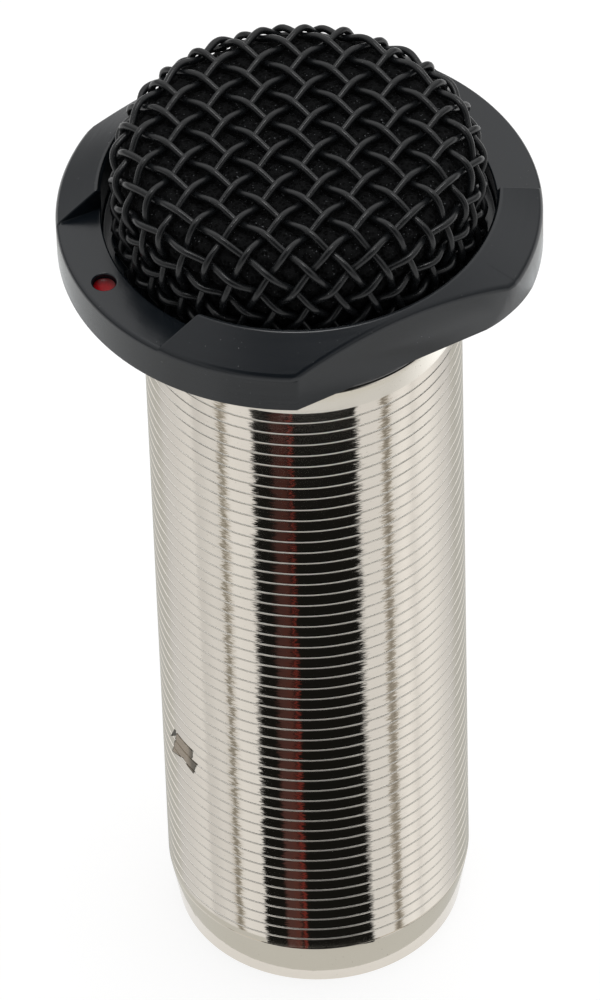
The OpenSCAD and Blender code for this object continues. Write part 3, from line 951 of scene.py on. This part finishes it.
def make_flange():
    """The painted flange: the paint's thickness rounds its edges."""
    recess = [
        (RECESS_R + out * RECESS_BEVEL, LAND_Z - down * RECESS_BEVEL) for out, down in RECESS_CURVE
    ]
    profile = [
        (SPIGOT_BORE_R, FLOOR_Z),
        (SPIGOT_BORE_R, SPIGOT_Z),
        (SPIGOT_R, SPIGOT_Z),
        (SPIGOT_R, NECK_Z),
        (NECK_R - NECK_CHAMFER, NECK_Z),
        (NECK_R, NECK_Z + NECK_CHAMFER),
        (NECK_R, FLANGE_Z),
        (FLANGE_R, FLANGE_Z),
        (FLANGE_R, EDGE_Z),
        *recess,
        (RECESS_R, FLOOR_Z),
        (SPIGOT_BORE_R, FLOOR_Z),
    ]
    bm = bmesh.new()
    spin_profile(bm, profile, FLANGE_STEPS)
    face_outwards(bm)
    side = 4 * FLANGE_R
    bm = cut_away(bm, [
        box_cutter((SLOT_W, side, SLOT_CUT), (0, 0, EDGE_Z + SLOT_CUT / 2)),
        box_cutter((side, side, side), (FLAT_X + side / 2, 0, EDGE_Z)),
        box_cutter((side, side, side), (-FLAT_X - side / 2, 0, EDGE_Z)),
        flat_end_cutter(0.0),
        flat_end_cutter(math.pi),
        box_cutter(BOARD_SLOT, (0, BOARD_MIDDLE_Y, SPIGOT_Z)),
        dot_hole(),
    ])
    bmesh.ops.remove_doubles(bm, verts=bm.verts, dist=CLOSE_POINTS)
    bmesh.ops.dissolve_degenerate(bm, edges=bm.edges, dist=CLOSE_POINTS)
    bmesh.ops.dissolve_limit(
        bm, angle_limit=math.radians(FLAT_WITHIN), verts=bm.verts, edges=bm.edges
    )
    join_flat_ends(bm)
    weight = bm.edges.layers.float.new("bevel_weight_edge")
    for edge in bm.edges:
        if edge.calc_face_angle(0.0) > math.radians(ROUNDED_ANGLE):
            edge[weight] = rounding_share(edge)
    piece = finish_piece(bm, "painted_flange", black_paint(), "flange", sharp=180)
    rounding = piece.modifiers.new("rounding", "BEVEL")
    rounding.width = PAINT_ROUNDING * MM
    rounding.segments = PAINT_SEGMENTS
    rounding.limit_method = "WEIGHT"
    rounding.use_clamp_overlap = False
    rounding.harden_normals = True


# The dome, the foam and the dot
def dome_profile(run):
    """Radius, height and tilt of the mesh's middle surface at a distance along it from the crown."""
    shoulder_run = CROWN_RUN + SHOULDER_R * (QUARTER_TURN - CROWN_TILT)
    if run < CROWN_RUN:
        tilt = run / CROWN_R
        return CROWN_R * math.sin(tilt), CROWN_Z - CROWN_R * (1 - math.cos(tilt)), tilt
    if run < shoulder_run:
        tilt = CROWN_TILT + (run - CROWN_RUN) / SHOULDER_R
        return BEND_R + SHOULDER_R * math.sin(tilt), BEND_Z + SHOULDER_R * math.cos(tilt), tilt
    return SKIRT_R, BEND_Z - (run - shoulder_run), QUARTER_TURN


def on_dome(flat, lift):
    """The point of the flat weave laid on the dome, lifted off its middle surface."""
    reach = flat.length
    run = reach * (1 + WEAVE_TIGHTENING * (reach / TIGHTENING_REACH) ** 2)
    radius, height, tilt = dome_profile(run)
    out = flat.normalized() * (radius + lift * math.sin(tilt))
    return Vector((*out, height + lift * math.cos(tilt)))


def wire_points(along, across, over, row):
    """One crimped wire, as far as it stays above the flange's floor, in metres."""
    reach = WIRES_EACH_WAY * SAMPLES_A_STEP
    points = []
    for sample in range(-reach, reach + 1):
        step = sample / SAMPLES_A_STEP
        lift = over * WIRE_LIFT * math.cos(math.pi * (step + row))
        place = on_dome(WEAVE_CENTRE + along * step + across * row, lift)
        if place.z > WIRE_END_Z:
            points.append(place * MM)
    return points


def make_woven_dome():
    """Two sets of crimped wires, each over and under the other."""
    data = bpy.data.curves.new("woven_wires", "CURVE")
    data.dimensions = "3D"
    data.bevel_depth = WIRE_R * MM
    data.bevel_resolution = WIRE_ROUNDNESS
    data.use_fill_caps = True
    for along, across, over in ((STEP_A, STEP_B, 1), (STEP_B, STEP_A, -1)):
        for row in range(-WIRES_EACH_WAY, WIRES_EACH_WAY + 1):
            points = wire_points(along, across, over, row)
            if len(points) < SAMPLES_A_STEP:
                continue
            wire = data.splines.new("POLY")
            wire.points.add(len(points) - 1)
            for spot, place in zip(wire.points, points):
                spot.co = (*place, 1)
            wire.use_smooth = True
    maker = put_in_scene("woven_wires_maker", data)
    bpy.context.view_layer.update()
    mesh = bpy.data.meshes.new_from_object(maker)
    bpy.data.objects.remove(maker)
    mesh.name = "woven_dome"
    mesh.shade_smooth()
    hand_over(put_in_scene("woven_dome", mesh), wire_paint(), "grille_dome")


def run_on_foam(spot):
    """How far from the crown a point of the foam lies, along the mesh above it."""
    radius = spot.xy.length
    bend_z = dome_profile(CROWN_RUN)[1] - SHOULDER_R
    if radius < BEND_R:
        return radius
    if spot.z > bend_z:
        return BEND_R + SHOULDER_R * math.atan2(radius - BEND_R, spot.z - bend_z)
    return BEND_R + SHOULDER_R * QUARTER_TURN + bend_z - spot.z


def opening_share(spot):
    """0 under a wire and 1 in the middle of an opening of the weave."""
    run = run_on_foam(spot)
    reach = run * (1 - WEAVE_TIGHTENING * (run / TIGHTENING_REACH) ** 2)
    flat = spot.xy.normalized() * reach - WEAVE_CENTRE
    whole = STEP_A.cross(STEP_B)
    a = flat.cross(STEP_B) / whole
    b = STEP_A.cross(flat) / whole
    return abs(math.sin(math.pi * a) * math.sin(math.pi * b))


def make_foam():
    """The foam windscreen behind the wires: it bulges into the openings and its cut is rough."""
    low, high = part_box("windscreen")
    foot = low.z / MM + FOAM_FOOT_GAP
    ceiling = high.z / MM - FOAM_THICKNESS
    profile = []
    for ring in range(FOAM_RINGS + 1):
        radius, height, tilt = dome_profile(FOAM_RUN * ring / FOAM_RINGS)
        height -= FOAM_INSET * math.cos(tilt)
        if height > RING_TOP_Z:
            profile.append((radius - FOAM_INSET * math.sin(tilt), height))
    profile += [
        (profile[-1][0], RING_TOP_Z),
        (INSIDE_RING_R, RING_TOP_Z),
        (INSIDE_RING_R, foot),
        (FOAM_BORE_R, foot),
        (FOAM_BORE_R, ceiling),
        (0, ceiling),
    ]
    bm = bmesh.new()
    spin_profile(bm, profile, FOAM_STEPS)
    face_outwards(bm)
    bm.normal_update()
    for vert in bm.verts:
        spot = vert.co
        outside = spot.xy.length > FOAM_BORE_R + FOAM_LUMPY_OUTSIDE
        if not outside and spot.z <= ceiling + FOAM_LUMPY_ABOVE:
            continue
        if spot.z < RING_TOP_Z + FOAM_LUMPY_PAST_RING:
            continue
        bulge = FOAM_BULGE * opening_share(spot)
        lumps = noise.turbulence(spot * LUMPS_EACH_MM, LUMP_OCTAVES, False)
        pits = max(0.0, noise.noise(spot * PITS_EACH_MM))
        vert.co += vert.normal * (bulge - FOAM_ROUGHNESS * lumps - FOAM_ROUGHNESS * pits)
    face_outwards(bm)
    piece = finish_piece(bm, "foam_windscreen", foam(), "windscreen", sharp=60)


def make_dot():
    """The enamel in the orientation dot, which stands a little higher at its rim."""
    profile = [(0, DOT_HOLE_Z), (DOT_R, DOT_HOLE_Z), (DOT_R, DOT_TOP_Z)]
    for share in DOT_RINGS:
        profile.append((DOT_R * share, DOT_TOP_Z - DOT_HOLLOW * (1 - share**2) ** DOT_HOLLOW_POWER))
    bm = bmesh.new()
    spin_profile(bm, profile, DOT_STEPS)
    bmesh.ops.translate(bm, vec=(*DOT_PLACE, 0), verts=bm.verts)
    face_outwards(bm)
    finish_piece(bm, "dot_enamel", red_enamel(), "orientation_dot", sharp=50)


make_barrel()
make_flange()
make_woven_dome()
make_foam()
make_dot()


# The studio
# Lengths that end in _M are in metres
FLOOR_R_M = 3.0
FLOOR_STEPS = 96
FLOOR_GREY = grey(0.92)
FLOOR_GLOW = grey(1.12)
FLOOR_GLOW_SHARE = 0.7

# What the barrel mirrors of the glowing fans on the floor, by the side of the barrel that shows
# it, in degrees from the camera's side: the pale tones first, painted reflections of the room that
# are darker towards both ends as painted shade on the floor behind the microphone, and a little
# warmer there
PALE_TONES = (
    (-90, 0.50), (-70, 0.52), (-67, 0.565), (-64, 0.645), (-60, 0.705), (-55, 0.75), (-50, 0.81),
    (-46.5, 0.84), (-44.5, 0.70), (-42, 0.73), (-38, 0.81), (-35.5, 0.79), (-28, 0.885), (-24, 0.86),
    (24, 0.82), (27, 0.83), (33, 0.86), (36, 0.96), (38, 1.0), (40.5, 0.93), (42, 0.83), (44, 0.95),
    (47, 0.98), (50, 0.975), (54, 0.895), (58, 0.79), (62, 0.715), (64.5, 0.645), (67, 0.565),
    (70, 0.52), (90, 0.50),
)
WARM_PAST = 66
WARM_BLUE = 0.95
# Then the dark bands, painted reflections of dark things in front of the microphone: from and to
# at the foot of the thread, from and to at its top, how soft their edges are, their colour at the
# foot, and the share of it that is left at the top
DARK_BANDS = (
    (-34.0, -30.6, -34.0, -30.6, 0.9, (0.50, 0.47, 0.42), 1.0),
    (-33.2, -31.6, -33.2, -31.6, 0.5, (0.28, 0.26, 0.22), 1.0),
    (29.2, 33.0, 28.0, 31.8, 1.0, (0.48, 0.45, 0.40), 1.0),
    (30.2, 32.0, 29.0, 30.8, 0.7, (0.23, 0.21, 0.18), 1.0),
    (-21.5, 20.2, -19.8, 18.6, 0.9, (0.008, 0.008, 0.007), 1.0),
    (-12.8, -7.5, -12.8, -7.5, 0.8, (0.085, 0.038, 0.033), 0.5),
    (-9.6, -7.6, -9.6, -7.6, 0.4, (0.100, 0.036, 0.029), 0.5),
    (-6.4, -5.4, -6.4, -5.4, 0.2, (0.150, 0.026, 0.020), 1.3),
)
# Painted shade mirrored by the taper and the collar, and a painted sheen by the flange's side
TAPER_TONE = (0.61, 0.61, 0.58)
COLLAR_TONE = (0.70, 0.70, 0.66)
FLANGE_TONE = (0.75, 0.76, 0.76)
FLANGE_SLANT_TONE = (1.38, 1.42, 1.45)
FLANGE_SLANT = (30, 62)

# The glowing fan that mirrors see on the floor has four parts, which end at these distances
# from the barrel
MIRROR_START = 0.1
MIRROR_ENDS = {"taper": 3.35, "thread": 59.0, "flange": 66.5, "collar": 72.0}
MIRROR_COLUMNS = 90
MIRROR_HEIGHT = 0.03
MIRROR_REACH = 90

# The dark front of the studio, round the camera, and the part of it that is quite dark
FRONT_R_M = 0.54
FRONT_DARK_R_M = 0.24
FRONT_DISTANCE_M = 0.60
FRONT_STEPS = 64
FRONT_DARK = grey(0.03)
FRONT_LIGHT = grey(0.75)

# A small bright lamp straight above, for mirrors alone, and the soft light that lights the rest
LAMP_R_M = 0.10
LAMP_PLACE_M = (-0.01, 0.02, 0.62)
LAMP_STEPS = 48
LAMP_STRENGTH = 6.2
LIGHT_PLACE_M = (0.0, 0.08, 0.62)
LIGHT_SIZE_M = 0.50
LIGHT_POWER = 1.75

# The walls that mirrors see: how bright they are low down, how much brighter they get between two
# slopes, and how much of that is left from the camera's side to behind the microphone
WALL_BASE = 0.35
WALL_GAIN = (0.12, 0.60, 0.0, 0.80)
WALL_SHARE = (-0.2, 0.7, 0.42, 1.0)
SOFT_LIGHT = 0.62


def floor_finish():
    """Plain pale floor: a soft shadow for the camera, and an even white in what mirrors it."""
    paint = Paint("floor_white")
    camera_ray = paint.ray("Camera")
    glowing = camera_ray * FLOOR_GLOW_SHARE + paint.ray("Glossy") * FLOOR_GLOW_SHARE
    share = (glowing + paint.ray("Transmission")).math("MINIMUM", 1.0)
    lit = paint.add("ShaderNodeBsdfDiffuse", {"Color": opaque(FLOOR_GREY)})
    tone = paint.mix(camera_ray, grey(1), FLOOR_GLOW)
    white = paint.add("ShaderNodeEmission", {"Color": tone})
    return paint.show(paint.add("ShaderNodeMixShader", {0: share, 1: lit, 2: white}))


def disc(name, radius, steps, finish):
    """A flat disc of the studio, with its middle at the origin."""
    bm = bmesh.new()
    bmesh.ops.create_circle(bm, cap_ends=True, segments=steps, radius=radius)
    thing = as_object(bm, name)
    thing.data.materials.append(finish)
    return thing


def hide_from_all_but_mirrors(thing):
    """Leaves something of the studio to mirror rays alone."""
    for kind in ("camera", "diffuse", "shadow", "transmission"):
        setattr(thing, "visible_" + kind, False)


def mirror_place(paint):
    """The side of the barrel that mirrors a point of the fan, and how far out the point is."""
    spot = paint.add("ShaderNodeAttribute", out="Vector", attribute_name="mirror")
    return paint.axes(spot)[:2]


def mirrored_bands():
    """The painted reflections and painted shade that the thread mirrors: pale tones and dark bands.
    """
    paint = Paint("mirrored_bands")
    side, far = mirror_place(paint)
    stops = []
    for degrees, tone in PALE_TONES:
        blue = tone * (WARM_BLUE if abs(degrees) > WARM_PAST else 1.0)
        stops.append(((degrees + MIRROR_REACH) / (2 * MIRROR_REACH), grey(tone, blue)))
    across = side / (2 * MIRROR_REACH) + 0.5
    colour = paint.add("ShaderNodeValToRGB", {"Fac": across}, stops=stops)
    for near_from, near_to, far_from, far_to, soft, shade, left in DARK_BANDS:
        start = near_from + far * (far_from - near_from)
        end = near_to + far * (far_to - near_to)
        band = paint.ramp(side - start, -soft, soft) * paint.ramp(end - side, -soft, soft)
        at_top = tuple(part * left for part in shade)
        colour = paint.mix(band, colour, paint.mix(far, shade, at_top))
    return paint.glow(colour)


def mirrored_by_flange():
    """A painted sheen for the flange's side to mirror: a pale glow, brighter where it is seen at a
    slant.
    """
    paint = Paint("mirrored_by_flange")
    side = mirror_place(paint)[0]
    slant = paint.ramp(side.math("ABSOLUTE"), *FLANGE_SLANT)
    return paint.glow(paint.mix(slant, FLANGE_TONE, FLANGE_SLANT_TONE))


def mirrored_point(degrees, distance):
    """Where the floor shows in the barrel's mirror, at that side of it and distance from it."""
    view = VIEW_AZIMUTH - 90
    return polar(BARREL_R, view + degrees) + polar(distance, view + 2 * degrees)


def make_painted_mirror_fan(name, near, far, finish):
    """A glowing fan of painted reflections on the floor round the camera's side of the barrel,
    between two distances from it.
    """
    bm = bmesh.new()
    spot = bm.verts.layers.float_vector.new("mirror")
    ends = [bm.verts.new(), bm.verts.new()]
    ends[1][spot] = (0, 1, 0)
    edge = bm.edges.new(ends)
    for column in range(MIRROR_COLUMNS + 1):
        degrees = 2 * MIRROR_REACH * column / MIRROR_COLUMNS - MIRROR_REACH
        if column:
            new = bmesh.ops.extrude_edge_only(bm, edges=[edge])["geom"]
            edge = next(item for item in new if isinstance(item, bmesh.types.BMEdge))
        for vert in edge.verts:
            is_far = vert[spot].y > 0.5
            vert.co = (*mirrored_point(degrees, far if is_far else near), MIRROR_HEIGHT)
            vert[spot] = (degrees, float(is_far), 0)
    bmesh.ops.scale(bm, vec=(MM, MM, MM), verts=bm.verts)
    fan = as_object(bm, name)
    fan.data.materials.append(finish)
    hide_from_all_but_mirrors(fan)


def make_painted_mirror_fans():
    """The four parts of the glowing fan that mirrors see on the floor, from the barrel outwards."""
    finishes = {
        "taper": Paint("taper_tone").glow(TAPER_TONE),
        "thread": mirrored_bands(),
        "flange": mirrored_by_flange(),
        "collar": Paint("collar_tone").glow(COLLAR_TONE),
    }
    near = MIRROR_START
    for part, far in MIRROR_ENDS.items():
        make_painted_mirror_fan("mirrored_by_" + part, near, far, finishes[part])
        near = far


def dark_front():
    """Dark in the middle, and lighter towards the rim."""
    paint = Paint("dark_front")
    out = paint.vector("LENGTH", paint.place(), out="Value") * MM
    return paint.glow(paint.mix(paint.ramp(out, FRONT_DARK_R_M, FRONT_R_M), FRONT_DARK, FRONT_LIGHT))


def make_dark_front():
    """The unlit side of the studio behind the camera, which only mirror rays see."""
    front = disc("dark_front", FRONT_R_M, FRONT_STEPS, dark_front())
    outwards = bpy.context.scene.camera.matrix_world.to_3x3() @ Vector((0, 0, 1))
    turn = outwards.to_track_quat("Z", "Y").to_matrix().to_4x4()
    front.matrix_world = Matrix.Translation(AIM * MM + outwards * FRONT_DISTANCE_M) @ turn
    hide_from_all_but_mirrors(front)


def make_bright_overhead():
    """A small bright lamp straight above, which only mirror rays see."""
    glow = Paint("bright_overhead").glow(grey(1), LAMP_STRENGTH)
    lamp = disc("bright_overhead", LAMP_R_M, LAMP_STEPS, glow)
    lamp.location = LAMP_PLACE_M
    hide_from_all_but_mirrors(lamp)


def make_light():
    """A square soft light that points at the middle of the microphone."""
    data = bpy.data.lights.new("overhead", "AREA")
    data.size = LIGHT_SIZE_M
    data.energy = LIGHT_POWER
    light = put_in_scene("overhead", data)
    light.location = LIGHT_PLACE_M
    towards = AIM * MM - Vector(LIGHT_PLACE_M)
    light.rotation_euler = towards.to_track_quat("-Z", "Y").to_euler()
    light.visible_glossy = False


def make_world():
    """White behind the object, an even soft light, and walls that mirrors show darker low down."""
    paint = Paint("studio", bpy.data.worlds)
    camera_ray = paint.ray("Camera")
    glossy_ray = paint.ray("Glossy")
    across, along, up = paint.axes(paint.add("ShaderNodeTexCoord", out="Generated"))
    away = polar(1, VIEW_AZIMUTH + 90)
    behind = across * away.x + along * away.y
    walls = WALL_BASE + paint.ramp(up, *WALL_GAIN) * paint.ramp(behind, *WALL_SHARE)
    other = (1 - camera_ray) * (1 - glossy_ray)
    strength = camera_ray + glossy_ray * walls + other * SOFT_LIGHT
    tone = paint.join(strength, strength, strength)
    sky = paint.add("ShaderNodeBackground", {"Color": tone})
    bpy.context.scene.world = paint.show(sky, "ShaderNodeOutputWorld")


disc("floor", FLOOR_R_M, FLOOR_STEPS, floor_finish())
make_painted_mirror_fans()
make_dark_front()
make_bright_overhead()
make_light()
make_world()

bpy.context.scene.view_settings.view_transform = "Standard"
